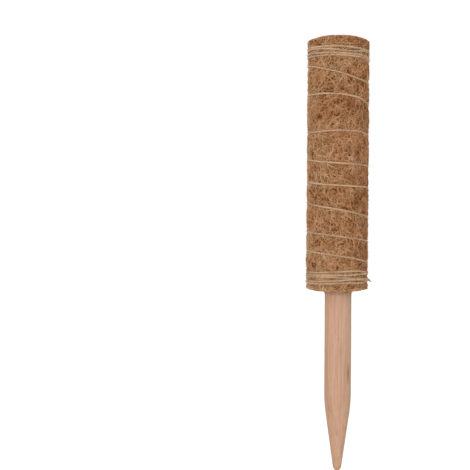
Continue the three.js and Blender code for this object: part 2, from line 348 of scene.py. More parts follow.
# Light: a white surrounding, and lamps of (name, place in metres, spread in degrees, power)
WHITE = (1.0, 1.0, 1.0)
WORLD_STRENGTH = 0.55
LAMPS = [
    ("key", (-0.35, -1.0, 0.12), 30, 2.1),
    ("fill", (0.9, -0.8, 0.3), 70, 0.5),
    ("back", (0.5, 1.0, 0.4), 60, 1.9),
]

# Floor: how far it goes each way, its colour, and the glow that shows it as white
FLOOR_REACH = 6000
FLOOR_COLOR = (0.8, 0.8, 0.8)
FLOOR_GLOW = 0.4


@dataclass
class FibreKind:
    """A kind of fibre: how many there are, and the ranges and spreads that each one is drawn from.

    The curl is in radians a millimetre. Fibres with a slant lie round the roll, off level by that spread.
    """

    count: int
    length: tuple
    tone: tuple
    tone_balance: tuple = (2.2, 2.0)
    curl: float = 0
    waver: float = 0
    slant: float = 0
    layer: tuple = (0, 1)

    @property
    def each(self):
        """The shape of an array with one number for each fibre."""
        return (self.count, 1)

    def tones(self, draw):
        darkest, palest = self.tone
        return darkest + (palest - darkest) * draw.beta(*self.tone_balance, self.each)

    def headings(self, draw):
        """Lengths of the fibres and headings along them: a start, a steady curl and a bend to and fro."""
        lengths = draw.uniform(*self.length, self.each)
        steps = ALONG * lengths
        curl = draw.normal(0, self.curl, self.each)
        wave = draw.uniform(*FIBRE_WAVES, self.each)
        waver = draw.normal(0, self.waver, self.each)
        phase = draw.uniform(0, TAU, self.each)
        start = draw.uniform(0, TAU, self.each)
        return lengths, start + curl * steps + waver * np.sin(TAU * steps / wave + phase)


# Kinds of fibre: how many for a zone of the side or for an end, range of length and range of tone
MATTED = FibreKind(2600, (8, 23), (0.25, 0.77), curl=0.09, waver=0.75)
STRAW = FibreKind(110, (6, 14), (0.48, 0.86), curl=0.025, waver=0.25, layer=(0.9, 1.1))
LOOSE = FibreKind(40, (5, 12), (0.3, 0.9), curl=0.06, waver=0.4)
ON_END = FibreKind(900, (4, 12), (0.1, 0.85), curl=0.09, waver=0.6)
STUB = FibreKind(700, (0.8, 1.7), (0.05, 0.75))
RIM = FibreKind(300, (4, 11), (0.22, 0.82), tone_balance=(2.0, 2.2), curl=0.06, waver=0.5, slant=0.35)
# Hanging skirt fibres are pale: painted light against the shade under the roll's foot
SKIRT = FibreKind(70, (2.5, 6), (0.6, 1.0))


def smoothstep(value, low, high):
    """0 up to low, 1 from high on, and smooth between."""
    share = np.clip((value - low) / (high - low), 0, 1)
    return share * share * (3 - 2 * share)


def bell(distance, reach):
    """1 at no distance, falling smoothly to almost nothing at two reaches."""
    return np.exp(-((distance / reach) ** 2))


def turned_from(angle, start):
    """How far on an angle is from a start, at most half a turn either way."""
    return (angle - start + math.pi) % TAU - math.pi


def polar(radius, angle, height):
    return np.stack(np.broadcast_arrays(radius * np.cos(angle), radius * np.sin(angle), height), axis=-1)


def noise(across, up, layers):
    """Smooth noise over shares of a turn and of a height, repeating round the turn."""
    total = 0
    for weight, cells_across, cells_up, seed in layers:
        values = np.random.default_rng(seed).uniform(-1, 1, (cells_across, cells_up + 2))
        x = (across % 1) * cells_across
        y = np.clip(up, 0, 1) * cells_up
        column = np.floor(x).astype(int)
        row = np.floor(y).astype(int)
        to_right = smoothstep(x - column, 0, 1)
        to_high = smoothstep(y - row, 0, 1)
        left = column % cells_across
        right = (column + 1) % cells_across
        low = values[left, row] * (1 - to_right) + values[right, row] * to_right
        high = values[left, row + 1] * (1 - to_right) + values[right, row + 1] * to_right
        total = total + weight * (low * (1 - to_high) + high * to_high)
    return total


def winding_corners():
    """Turns and heights between which the twine runs straight down the coir."""
    last_front = TAIL_TURN - 1 + FIRST_FRONT
    top_start = COIR_LENGTH - TOP_BAND_INSET + FIRST_FRONT * TOP_BAND_PITCH
    top_fall = TOP_BAND_TURNS * TOP_BAND_PITCH
    bottom_start = BOTTOM_BAND_INSET + (last_front - BOTTOM_BAND_START) * BOTTOM_BAND_PITCH
    drops = np.append(SPIRAL_DROPS, LAST_BACK_DROP)
    drops *= (top_start - top_fall - bottom_start) / drops.sum()
    drop_turns = DROP_TURNS * len(SPIRAL_DROPS) + DROP_TURNS[:1]
    past_end = TAIL_TURN + 1 - BOTTOM_BAND_START
    turns = np.cumsum([0, TOP_BAND_TURNS, *drop_turns, past_end])
    falls = np.cumsum([0, top_fall, *drops, past_end * BOTTOM_BAND_PITCH])
    return turns, top_start - falls


CORNER_TURNS, CORNER_HEIGHTS = winding_corners()


def eased(turn, turns, values, ease):
    """Values at a turn, straight between the given ones with the corners eased."""
    return np.mean([np.interp(turn + shift, turns, values) for shift in (-ease, 0, ease)], axis=0)


def twine_height(turn):
    """Height of the twine's centre at a turn."""
    turns, strays = zip(*TWINE_STRAY)
    stray = eased(turn, turns, strays, STRAY_EASE)
    return eased(turn, CORNER_TURNS, CORNER_HEIGHTS, HEIGHT_EASE) + stray


def strand_distance(angle, height):
    """How far up or down a place on the coir is from the nearest turn of the twine."""
    share = (angle / TAU) % 1
    nearest = COIR_LENGTH
    for whole in range(TAIL_TURN):
        turn = share + whole
        wound = (turn > TUCK_TURN) & (turn < TAIL_TURN)
        gap = np.where(wound, np.abs(height - twine_height(turn)), COIR_LENGTH)
        nearest = np.minimum(nearest, gap)
    return nearest


def add_object(name, data):
    """A new object in the scene."""
    item = bpy.data.objects.new(name, data)
    bpy.context.scene.collection.objects.link(item)
    return item


def make_mesh(name, places, quads, triangles=NO_TRIANGLES):
    """A mesh object from arrays of places, quads and triangles."""
    corners = np.concatenate([quads.ravel(), triangles.ravel()])
    sizes = np.repeat([4, 3], [len(quads), len(triangles)])
    starts = np.cumsum(sizes) - sizes
    mesh = bpy.data.meshes.new(name)
    mesh.vertices.add(len(places))
    mesh.vertices.foreach_set("co", (places * MM).astype(np.float32).ravel())
    mesh.loops.add(len(corners))
    mesh.loops.foreach_set("vertex_index", corners.astype(np.int32))
    mesh.polygons.add(len(starts))
    mesh.polygons.foreach_set("loop_start", starts.astype(np.int32))
    mesh.update(calc_edges=True)
    mesh.shade_smooth()
    return add_object(name, mesh)


def add_map(piece, places):
    """The map that colours are laid out on: one place for each corner."""
    layer = piece.data.uv_layers.new(name="OFBake")
    layer.uv.foreach_set("vector", places.astype(np.float32).ravel())


def add_tone(piece, tones):
    """A number from 0 to 1 for each vertex, which the materials turn into a colour."""
    attribute = piece.data.attributes.new("tone", "FLOAT", "POINT")
    attribute.data.foreach_set("value", tones.astype(np.float32).ravel())


def place_piece(piece, material):
    """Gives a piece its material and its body."""
    piece.data.materials.append(material)
    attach(piece, BODY)
    return piece


def map_corners(*corners):
    """Places on the map, face by face, from the faces' first corners as (u, v), second ones and so on."""
    places = [np.stack(np.broadcast_arrays(u, v), axis=-1) for u, v in corners]
    return np.stack(places, axis=-2).reshape(-1, 2)


def map_boxes(low, high):
    """Places on the map of quads that lie square on it, from their low and high corners."""
    return map_corners(low, (high[0], low[1]), high, (low[0], high[1]))


def lathe(name, profile, steps, shape=None, solid=False):
    """A profile of (radius, height) points turned round the pole, with a map of its own.

    The outside is on the right of the profile. It closes on itself, or in a solid piece each of its ends is
    closed across the axis. Shape, if given, moves the places.
    """
    rows = len(profile)
    angles = np.tile(np.arange(steps) * TAU / steps, (rows, 1))
    radii = np.repeat(profile[:, :1], steps, axis=1)
    heights = np.repeat(profile[:, 1:], steps, axis=1)
    if shape:
        radii, heights = shape(radii, angles, heights)
    places = polar(radii, angles, heights).reshape(-1, 3)
    row, column = np.indices((rows - 1 if solid else rows, steps))
    here = row * steps
    above = (row + 1) % rows * steps
    beside = (column + 1) % steps
    quads = np.stack([here + column, here + beside, above + beside, above + column], axis=-1).reshape(-1, 4)
    lengths = np.linalg.norm(np.roll(profile, -1, axis=0) - profile, axis=1)
    foot_length, top_length = (profile[0, 0], profile[-1, 0]) if solid else (0, 0)
    along = foot_length + np.concatenate([[0], np.cumsum(lengths)])
    total = along[rows - 1] + top_length if solid else along[rows]
    shares = along / total
    maps = [map_boxes((column / steps, shares[row]), ((column + 1) / steps, shares[row + 1]))]
    caps = [NO_TRIANGLES]
    if solid:
        first = np.arange(steps)
        second = (first + 1) % steps
        last_row = (rows - 1) * steps
        foot_centre = np.full(steps, len(places))
        caps.append(np.stack([foot_centre, second, first], axis=-1))
        caps.append(np.stack([foot_centre + 1, last_row + first, last_row + second], axis=-1))
        places = np.concatenate([places, polar(0, 0, profile[[0, -1], 1])])
        left, middle, right = [(first + share) / steps for share in (0, 0.5, 1)]
        low = foot_length / total
        high = 1 - top_length / total
        maps.append(map_corners((middle, 0), (right, low), (left, low)))
        maps.append(map_corners((middle, 1), (left, high), (right, high)))
    piece = make_mesh(name, places, quads, np.concatenate(caps))
    add_map(piece, np.concatenate(maps))
    return piece


def unit(vectors):
    return vectors / (np.linalg.norm(vectors, axis=-1, keepdims=True) + TINY)


def path_frame(paths, tilt=FRAME_TILT):
    """Directions at each point of paths round the pole: along, sideways and outwards."""
    along = unit(np.gradient(paths, axis=-2))
    outward = unit(paths * np.array([1, 1, 0])) + np.array([0, 0, tilt])
    across = unit(np.cross(along, outward))
    return along, across, np.cross(across, along)


def tubes(name, paths, radii, sides, tones, stretch=None):
    """Many round tubes of equal point counts as one piece, from arrays by (tube, point).

    On the map each tube has a cell of its own, or one for each stretch of so many steps.
    """
    count, points = paths.shape[:2]
    stretch = stretch or points - 1
    strips = (points - 1) // stretch
    _, across, up = path_frame(paths)
    turn = (np.arange(sides) * TAU / sides)[:, None]
    ring = across[:, :, None] * np.cos(turn) + up[:, :, None] * np.sin(turn)
    places = paths[:, :, None] - ring * radii[:, :, None, None]
    tube, point, side = np.indices((count, points - 1, sides))
    here = (tube * points + point) * sides
    ahead = here + sides
    beside = (side + 1) % sides
    quads = np.stack([here + side, ahead + side, ahead + beside, here + beside], axis=-1).reshape(-1, 4)
    cells = math.ceil(math.sqrt(count * strips))

    def on_map(cell, u, v):
        """A place on the map, from a cell's number and shares of the cell."""
        return (cell % cells + u) / cells, (cell // cells + v) / cells

    cell = tube * strips + point // stretch
    step = point % stretch
    along_cell = np.linspace(CELL_ENDS, 1 - CELL_ENDS, stretch + 1)
    across_cell = np.linspace(CELL_GAP, 1 - CELL_GAP, sides + 1)
    near = on_map(cell, along_cell[step], across_cell[side])
    far = on_map(cell, along_cell[step + 1], across_cell[side + 1])
    maps = [map_boxes(near, far)]

    first = np.arange(count) * points * sides
    last = first + (points - 1) * sides
    first_cell = np.arange(count) * strips
    last_cell = first_cell + strips - 1
    cap_lows = np.linspace(CELL_ENDS, 1 - CELL_ENDS, sides - 1)[:-1]
    caps = []
    for corner, low in enumerate(cap_lows, start=1):
        caps.append(np.stack([first, first + corner, first + corner + 1], axis=-1))
        caps.append(np.stack([last, last + corner + 1, last + corner], axis=-1))
        for end_cell, spots in ((first_cell, FIRST_CAP), (last_cell, LAST_CAP)):
            corners = [on_map(end_cell, u, low + v / len(cap_lows)) for u, v in spots]
            maps.append(map_corners(*corners))
    piece = make_mesh(name, places.reshape(-1, 3), quads, np.concatenate(caps))
    add_tone(piece, np.broadcast_to(tones[:, :, None], (count, points, sides)))
    add_map(piece, np.concatenate(maps))
    return piece


class Nodes:
    """Short words for building the nodes of a material or of the world."""

    def __init__(self, holder, shader):
        holder.use_nodes = True
        self.holder = holder
        self.tree = holder.node_tree
        self.shader = self.tree.nodes[shader]

    def put(self, value, socket):
        """Sets a socket to a value, or links it to an output."""
        if isinstance(value, bpy.types.NodeSocket):
            self.tree.links.new(value, socket)
        elif socket.type == "RGBA":
            socket.default_value = (*value, 1)
        else:
            socket.default_value = value

    def add(self, kind, output, inputs, **settings):
        """Adds a shader node, with its settings and inputs, and returns one of its outputs."""
        node = self.tree.nodes.new("ShaderNode" + kind)
        for key, value in settings.items():
            setattr(node, key, value)
        for key, value in inputs.items():
            self.put(value, node.inputs[key])
        return node.outputs[output]

    def tone(self):
        return self.add("Attribute", "Fac", {}, attribute_name="tone")

    def place(self, stretch, centre=(0, 0, 0)):
        """Places on the object in metres, counted from a centre and stretched along the axes."""
        place = self.add("TexCoord", "Object", {})
        shift = [-s * c for s, c in zip(stretch, centre)]
        return self.add("Mapping", "Vector", {"Vector": place, "Location": shift, "Scale": stretch})

    def noise(self, scale, stretch=(1, 1, 1), detail=2.0, roughness=0.5):
        inputs = {"Scale": scale, "Detail": detail, "Roughness": roughness, "Vector": self.place(stretch)}
        return self.add("TexNoise", "Fac", inputs)

    def ramp(self, value, *stops):
        """A colour for a value, from stops of (value, colour)."""
        output = self.add("ValToRGB", "Color", {"Fac": value})
        elements = output.node.color_ramp.elements
        while len(elements) < len(stops):
            elements.new(0.5)
        for element, (position, color) in zip(elements, stops):
            element.position = position
            element.color = (*color, 1)
        return output

    def tint(self, color, other, factor=1.0):
        """A colour multiplied by another, as far as the factor says."""
        inputs = dict(zip(MIX_INPUTS, (factor, color, other)))
        return self.add("Mix", MIX_OUTPUT, inputs, data_type="RGBA", blend_type="MULTIPLY")

    def math(self, operation, first, second):
        return self.add("Math", 0, {0: first, 1: second}, operation=operation)

    def spread(self, value, low, high):
        """A value from 0 to 1 laid out from low to high."""
        return self.add("MapRange", "Result", {"Value": value, "To Min": low, "To Max": high})

    def seen(self):
        """1 for what the camera sees, also by a shiny or clear surface, and 0 for light on the object."""
        rays = self.tree.nodes.new("ShaderNodeLightPath").outputs
        opaque = self.math("MAXIMUM", rays["Is Camera Ray"], rays["Is Glossy Ray"])
        return self.math("MAXIMUM", opaque, rays["Is Transmission Ray"])

    def bump(self, height, strength, distance):
        inputs = {"Height": height, "Strength": strength, "Distance": distance * MM}
        self.put(self.add("Bump", "Normal", inputs), self.shader.inputs["Normal"])

    def finish(self, **settings):
        """Sets the shader's inputs, named with _ for a space, and returns the material or the world."""
        for key, value in settings.items():
            self.put(value, self.shader.inputs[key.replace("_", " ")])
        return self.holder


def new_material(name):
    return Nodes(bpy.data.materials.new(name), "Principled BSDF")


def fibre_material():
    """Coir fibre: each fibre's own tone from dark brown to straw, redder and yellower in patches."""
    nodes = new_material("coir_fibre")
    color = nodes.ramp(
        nodes.tone(),
        (0.0, (0.140, 0.041, 0.008)),
        (0.3, (0.362, 0.155, 0.060)),
        (0.6, (0.565, 0.294, 0.141)),
        (0.85, (0.685, 0.445, 0.256)),
        (1.0, (0.780, 0.605, 0.400)),
    )
    patches = nodes.noise(scale=75)
    color = nodes.tint(color, nodes.ramp(patches, (0.35, (1.01, 0.95, 0.91)), (0.65, (0.98, 1.015, 1.01))))
    fine = nodes.noise(scale=900)
    nodes.bump(fine, strength=0.25, distance=0.2)
    roughness = nodes.spread(fine, 0.62, 0.9)
    return nodes.finish(Base_Color=color, Roughness=roughness, Specular_IOR_Level=0.06)


def coir_bed_painted_shade_material():
    """The depth of the coir behind the loose fibres: matted and rough, its dark brown painted shade of the
    gaps between the fibres.
    """
    nodes = new_material("coir_bed")
    matted = nodes.noise(scale=420, detail=4, roughness=0.7)
    color = nodes.ramp(
        matted,
        (0.3, (0.065, 0.020, 0.004)),
        (0.55, (0.150, 0.055, 0.016)),
        (0.75, (0.26, 0.115, 0.042)),
    )
    fine = nodes.noise(scale=1100, detail=3, roughness=0.65)
    nodes.bump(fine, strength=0.8, distance=0.6)
    roughness = nodes.spread(matted, 0.8, 0.98)
    return nodes.finish(Base_Color=color, Roughness=roughness, Specular_IOR_Level=0.05)


def twine_material():
    """Jute yarn: pale tan in each ply's own tone, with fine darker and lighter streaks."""
    nodes = new_material("jute_yarn")
    color = nodes.ramp(
        nodes.tone(),
        (0.0, (0.23, 0.150, 0.079)),
        (0.5, (0.592, 0.387, 0.232)),
        (1.0, (0.742, 0.528, 0.342)),
    )
    streaks = nodes.noise(scale=1500, detail=3, roughness=0.65)
    shade = nodes.ramp(streaks, (0.3, (0.80, 0.77, 0.74)), (0.6, WHITE), (0.75, (1.03, 1.03, 1.02)))
    nodes.bump(streaks, strength=0.5, distance=0.3)
    return nodes.finish(
        Base_Color=nodes.tint(color, shade),
        Roughness=nodes.spread(streaks, 0.7, 0.95),
        Specular_IOR_Level=0.12,
        Sheen_Weight=0.08,
    )


def wood_material():
    """Planed softwood: straight grain, pinker on the left and yellower on the right, pores and a knot."""
    nodes = new_material("stake_wood")
    broad = nodes.noise(scale=150, stretch=(1, 1, 0.035))
    shift = 0.2 / (STAKE_RADIUS * MM)
    to_right = nodes.add("SeparateXYZ", "X", {"Vector": nodes.place((shift, 1, 1))})
    color = nodes.ramp(
        nodes.math("ADD", broad, to_right),
        (0.3, (0.520, 0.300, 0.196)),
        (0.5, (0.508, 0.312, 0.208)),
        (0.7, (0.488, 0.320, 0.208)),
    )
    grain = nodes.noise(scale=750, stretch=(1, 1, 0.03), detail=3, roughness=0.6)
    lines = nodes.ramp(grain, (0.32, (0.80, 0.75, 0.71)), (0.52, WHITE), (0.72, (1.07, 1.07, 1.06)))
    color = nodes.tint(color, lines)
    pores = nodes.noise(scale=2400, stretch=(1, 1, 0.07), detail=1)
    color = nodes.tint(color, nodes.ramp(pores, (0.27, (0.72, 0.66, 0.6)), (0.36, WHITE)), factor=0.7)
    from_knot = nodes.place([1 / size for size in KNOT_SIZE], KNOT_PLACE)
    knot = nodes.add("VectorMath", "Value", {0: from_knot}, operation="LENGTH")
    knot = nodes.math("ADD", knot, nodes.spread(broad, -0.5, 0.5))
    color = nodes.tint(color, nodes.ramp(knot, (0.25, (0.72, 0.62, 0.50)), (1.0, WHITE)))
    nodes.bump(grain, strength=0.2, distance=0.3)
    roughness = nodes.spread(grain, 0.55, 0.8)
    return nodes.finish(Base_Color=color, Roughness=roughness, Specular_IOR_Level=0.25)


def tube_material():
    """Grey extruded plastic pipe with faint scuffs along it."""
    nodes = new_material("tube_plastic")
    scuffs = nodes.noise(scale=700, stretch=(1, 1, 0.08), detail=3, roughness=0.6)
    color = nodes.ramp(
        scuffs,
        (0.3, (0.43, 0.41, 0.36)),
        (0.6, (0.52, 0.495, 0.43)),
        (0.8, (0.56, 0.54, 0.48)),
    )
    nodes.bump(scuffs, strength=0.1, distance=0.2)
    return nodes.finish(Base_Color=color, Roughness=nodes.spread(scuffs, 0.35, 0.6))


def steel_material():
    """Bright drawn wire of a small nail, a little dulled."""
    nodes = new_material("brad_steel")
    drawn = nodes.noise(scale=2500, stretch=(0.1, 1, 1), detail=3, roughness=0.6)
    color = nodes.ramp(drawn, (0.3, (0.34, 0.34, 0.35)), (0.7, (0.5, 0.5, 0.52)))
    return nodes.finish(Base_Color=color, Roughness=nodes.spread(drawn, 0.25, 0.5), Metallic=1.0)


def slit_radius(angle):
    """Radius of the line between the mat's layers, at an angle counted on from the mat's inner edge."""
    middle = (COIR_BORE + COIR_RADIUS) / 2
    inner = COIR_BORE + MAT_EDGE
    outer = COIR_RADIUS - MAT_EDGE
    first = (middle - inner) * smoothstep(angle, 0, LAP_ANGLE)
    second = (outer - middle) * smoothstep(angle, TAU, TAU + LAP_ANGLE)
    return inner + first + second


def slit_distance(radius, angle):
    """How far a place on an end of the roll is from the line between its layers."""
    counted = (angle - (SEAM_ANGLE - LAP_ANGLE)) % TAU
    nearest = np.abs(radius - slit_radius(counted))
    second = np.abs(radius - slit_radius(counted + TAU))
    return np.where(counted < LAP_ANGLE, np.minimum(nearest, second), nearest)


def pit_share(angle, height):
    """1 in the small open pits between the fibres, 0 elsewhere."""
    across = angle / TAU
    up = height / COIR_LENGTH
    across = across + noise(across, up, PIT_DRIFT_ROUND)
    up = up + noise(across, up, PIT_DRIFT_UP)
    return smoothstep(noise(across, up, PITS), *PIT_EDGES)


def foot_wear(angle, height):
    """1 at the worn stretch of the foot's rim on the left, 0 elsewhere."""
    return bell(turned_from(angle, WORN_ANGLE), WORN_SPREAD) * (height < COIR_LENGTH / 2)


def rim_drop(angle, height):
    """How much the rounded rims at the two ends draw the coir in."""
    rounding = RIM_ROUNDING + WORN_ROUNDING * foot_wear(angle, height)
    near_end = np.minimum(height, COIR_LENGTH - height)
    short = np.clip(rounding - near_end, 0, rounding)
    return rounding - np.sqrt(np.maximum(rounding**2 - short**2, 0))


def seam_share(angle):
    """1 in the slit behind the mat's outer edge at the back, easing to 0 along the turn on from it."""
    turned = turned_from(angle, SEAM_ANGLE) * COIR_RADIUS
    return smoothstep(turned, -SEAM_EDGE, SEAM_EDGE) * (1 - smoothstep(turned, *SEAM_REACH))


def off_centre(angle):
    """How much further out than its mean the roll lies: it is thicker on the left."""
    return -OFF_CENTRE * np.cos(angle)


def end_shift(radius, angle, height):
    """How far up the ends of the roll are shifted: it is longer at front and back, and on the left."""
    share = np.clip(radius / COIR_RADIUS, 0, 1) ** 2
    out = share * (-END_SHORT - END_WAVE * np.cos(2 * angle) - END_TILT * np.cos(angle))
    near_top = smoothstep(height, COIR_LENGTH - END_REACH, COIR_LENGTH)
    near_foot = 1 - smoothstep(height, 0, END_REACH)
    return out * (near_top - near_foot)


def bed_radius(angle, height):
    """Radius of the coir's bed at a place on its side."""
    gap = strand_distance(angle, height)
    radius = COIR_RADIUS - BED_DEPTH + SWELL * (1 - bell(gap, SWELL_REACH))
    radius = radius + noise(angle / TAU, height / COIR_LENGTH, LUMPS)
    radius = radius - PIT_DEPTH * pit_share(angle, height) - SEAM_DEPTH * seam_share(angle)
    pressed = 1 - smoothstep(gap, *PRESS_REACH)
    radius = radius * (1 - pressed) + np.minimum(radius, PRESSED_RADIUS) * pressed
    return radius - rim_drop(angle, height) + off_centre(angle)


def make_coir_bed():
    """The roll itself: side with lumps and twine grooves, rounded rims, and ends that show its layers."""
    low = END_SINK
    high = COIR_LENGTH - END_SINK
    rim = COIR_RADIUS - BED_DEPTH - RIM_ROUNDING
    side = np.linspace(0, COIR_LENGTH, SIDE_ROWS)
    stretches = [
        np.linspace((COIR_BORE, low), (rim, low), END_ROWS),
        np.stack([np.full(SIDE_ROWS, COIR_RADIUS), np.clip(side, low, high)], axis=-1),
        np.linspace((rim, high), (COIR_BORE, high), END_ROWS),
        np.linspace((COIR_BORE, high - END_SINK), (COIR_BORE, low + END_SINK), BORE_ROWS),
    ]
    foot_rows = slice(0, END_ROWS)
    side_rows = slice(END_ROWS, END_ROWS + SIDE_ROWS)
    top_rows = slice(END_ROWS + SIDE_ROWS, -BORE_ROWS)

    def shape(radii, angles, heights):
        radii[side_rows] = bed_radius(angles[side_rows], side[:, None])
        for rows, inward in ((foot_rows, 1), (top_rows, -1)):
            groove = SLIT_DEPTH * bell(slit_distance(radii[rows], angles[rows]), SLIT_REACH)
            rough = noise(angles[rows] / TAU, radii[rows] / COIR_RADIUS, END_ROUGHNESS)
            heights[rows] += inward * (groove + rough)
        return radii, heights + end_shift(radii, angles, heights)

    return lathe("coir_bed", np.concatenate(stretches), BED_STEPS, shape)


def coir_patches_and_painted_light(angle, height):
    """Paler and darker patches of the coir, with painted light on the left of its front and at its foot."""
    patches = noise(angle / TAU, height / COIR_LENGTH, PATCHES)
    # Painted light: paler on the left of the front
    patches = patches + PAINTED_LIGHT_SIDE * np.cos(angle - PAINTED_LIGHT_ANGLE)
    # Painted light: paler near the foot, as if lit from below
    patches = patches + FOOT_PAINTED_LIGHT * (1 - smoothstep(height, 0, FOOT_PAINTED_LIGHT_REACH))
    for degrees, spot_height, spread, depth in DARK_SPOTS:
        around = turned_from(angle, math.radians(degrees)) * COIR_RADIUS
        patches = patches - depth * bell(np.hypot(around, height - spot_height), spread)
    return patches


def walk(heading, lengths):
    """How far fibres have gone along and across at each of their points, from their headings."""
    step = lengths / (FIBRE_POINTS - 1)
    return np.cumsum(np.cos(heading) * step, axis=1), np.cumsum(np.sin(heading) * step, axis=1)


def laid_fibres(draw, kind, low, high):
    """Angles and heights along fibres that lie on the side of the roll and start between two heights."""
    lengths, heading = kind.headings(draw)
    if kind.slant:
        heading = heading - heading[:, :1] + draw.normal(0, kind.slant, kind.each)
    around, upward = walk(heading, lengths)
    angles = draw.uniform(0, TAU, kind.each) + around / COIR_RADIUS
    return angles, draw.uniform(low, high, kind.each) + upward


def side_fibres(draw, kind, low, high):
    """Fibres lying curled over and under each other on the side of the roll, between two heights."""
    angles, heights = laid_fibres(draw, kind, low, high)
    top = COIR_LENGTH - SIDE_MARGIN
    heights = np.abs(heights - SIDE_MARGIN) + SIDE_MARGIN
    heights = top - np.abs(top - heights)
    layer = draw.uniform(*kind.layer, kind.each)
    waves = draw.uniform(*RIPPLES, kind.each)
    ripple = np.sin(TAU * (waves * ALONG + draw.uniform(0, 1, kind.each)))
    lift = SIDE_LIFT + LAYER_LIFT * layer + RIPPLE_LIFT * ripple - SIDE_DIVE * DIVE
    pressed = 1 - smoothstep(strand_distance(angles, heights), *PRESS_REACH)
    radii = bed_radius(angles, heights) + lift * (1 - HELD_SHARE * pressed)
    radii = np.minimum(radii, COIR_RADIUS + SIDE_PROUD + off_centre(angles))
    # Painted shade: fibres in pits, in low layers and where their ends dive in are darker
    pits = pit_share(angles, heights) * np.clip(1 - layer**3, 0, 1)
    tones = kind.tones(draw) + LAYER_PAINTED_SHADE * (layer - 0.5) + coir_patches_and_painted_light(angles, heights)
    return polar(radii, angles, heights), tones - DIVE_PAINTED_SHADE * DIVE - PIT_PAINTED_SHADE * pits


def loose_fibres(draw, kind, low, high):
    """Fibres that stand off the side of the roll in low arches."""
    angles, heights = laid_fibres(draw, kind, low, high)
    heights = np.clip(heights, ARCH_MARGIN, COIR_LENGTH - ARCH_MARGIN)
    peak = draw.uniform(*ARCH_HEIGHT, kind.each)
    arch_share = np.where(draw.uniform(size=kind.each) < FREE_SHARE, 0.5, 1)
    arch = peak * np.sin(math.pi * ALONG * arch_share) - ARCH_ROOT
    return polar(COIR_RADIUS + off_centre(angles) + arch, angles, heights), kind.tones(draw)


def ring_radii(draw, kind, inner, outer):
    """Radii of places spread evenly over a ring."""
    return np.sqrt(draw.uniform(inner**2, outer**2, kind.each))


def end_fibres(draw, kind, plane, out):
    """Fibres on an end of the roll, mostly along its layers. Out is 1 at the top and -1 at the foot."""
    lengths, heading = kind.headings(draw)
    around, outward = walk(heading - (1 - END_SWEEP) * heading[:, :1], lengths)
    starts = ring_radii(draw, kind, COIR_BORE, COIR_RADIUS - END_START_INSET)
    radii = np.clip(starts + outward, COIR_BORE, COIR_RADIUS - END_INSET)
    angles = draw.uniform(0, TAU, kind.each) + around / radii
    layer = draw.uniform(*kind.layer, kind.each)
    sunk = bell(slit_distance(radii, angles), SLIT_SINK_REACH)
    lift = END_LAYER_LIFT * layer - END_DEPTH - END_DIVE * DIVE - SLIT_SINK * sunk
    # Painted shade: darker where the ends dive in and in the slit
    tones = kind.tones(draw) - DIVE_PAINTED_SHADE * DIVE - SLIT_PAINTED_SHADE * sunk
    return polar(radii, angles, plane + out * lift), tones


def stub_fibres(draw, kind, plane, out):
    """Cut fibre ends that stand up from an end of the roll."""
    lengths = draw.uniform(*kind.length, kind.each)
    radii = ring_radii(draw, kind, COIR_BORE + STUB_BORE_INSET, COIR_RADIUS - STUB_RIM_INSET)
    angles = draw.uniform(0, TAU, kind.each)
    lean_out, lean_round = draw.uniform(-1, 1, (2, *kind.each)) * lengths * ALONG**STUB_LEAN
    leaning = np.clip(radii + lean_out, COIR_BORE, COIR_RADIUS - STUB_RIM_LIMIT)
    heights = plane + out * (lengths * ALONG - STUB_ROOT)
    # Painted shade: darker at the roots, paler towards the tips
    return polar(leaning, angles + lean_round / radii, heights), kind.tones(draw) + STUB_PAINTED_SHADE * ALONG


def rim_fibres(draw, kind, plane, out):
    """Fibres laid round the rim of an end, down its side and in over its edge."""
    angles, place = laid_fibres(draw, kind, -RIM_REACH, RIM_REACH)
    place = np.clip(place, -2 * RIM_REACH, RIM_REACH)
    worn = foot_wear(angles, plane)
    depth = draw.uniform(*RIM_DEPTH, kind.each) + RIM_DIVE * DIVE
    depth = depth + WORN_DEPTH * worn * np.exp(-np.abs(place) / WORN_REACH)
    radii = COIR_RADIUS + off_centre(angles) - np.clip(place, 0, None) - depth
    heights = plane - out * (np.clip(-place, 0, None) + depth)
    # Painted shade where the ends dive in; painted light on the left of the front and at the foot; the worn
    # stretch paler
    tones = kind.tones(draw) - RIM_DIVE_PAINTED_SHADE * DIVE + RIM_PAINTED_LIGHT_SIDE * np.cos(angles - PAINTED_LIGHT_ANGLE)
    return polar(radii, angles, heights), tones + FOOT_PAINTED_LIGHT * (out < 0) + WORN_PALE * worn


def skirt_fibres(draw, kind):
    """Loose fibres that hang from the foot of the roll round the stake."""
    lengths = draw.uniform(*kind.length, kind.each)
    radii = STAKE_RADIUS + draw.uniform(*SKIRT_ROOM, kind.each)
    angles = draw.uniform(0, TAU, kind.each)
    splay = draw.uniform(-SKIRT_SPLAY, SKIRT_SPLAY, kind.each)
    downward, around = walk(splay + draw.normal(0, SKIRT_CURL, kind.each) * ALONG, lengths)
    drawn_in = radii - (radii - STAKE_RADIUS - SKIRT_GAP) * smoothstep(ALONG, 0, 1)
    return polar(drawn_in, angles + around / radii, SKIRT_ROOT - downward), kind.tones(draw)


def place_fibres(where, draw, groups, widths, material):
    """Groups of fibres as one piece, which follow the roll's ends and are finer towards their own ends."""
    paths = np.concatenate([group for group, _ in groups])
    tones = np.concatenate([np.broadcast_to(tones, group.shape[:2]) for group, tones in groups])
    x, y, z = np.moveaxis(paths, -1, 0)
    paths[..., 2] += end_shift(np.hypot(x, y), np.arctan2(y, x), z)
    middle = draw.uniform(*widths, (len(paths), 1)) / 2
    radii = middle * (1 - FIBRE_THINNING * FROM_MIDDLE**3)
    piece = tubes(f"coir_fibres_{where}", paths, radii, FIBRE_SIDES, np.clip(tones, 0, 1))
    place_piece(piece, material)


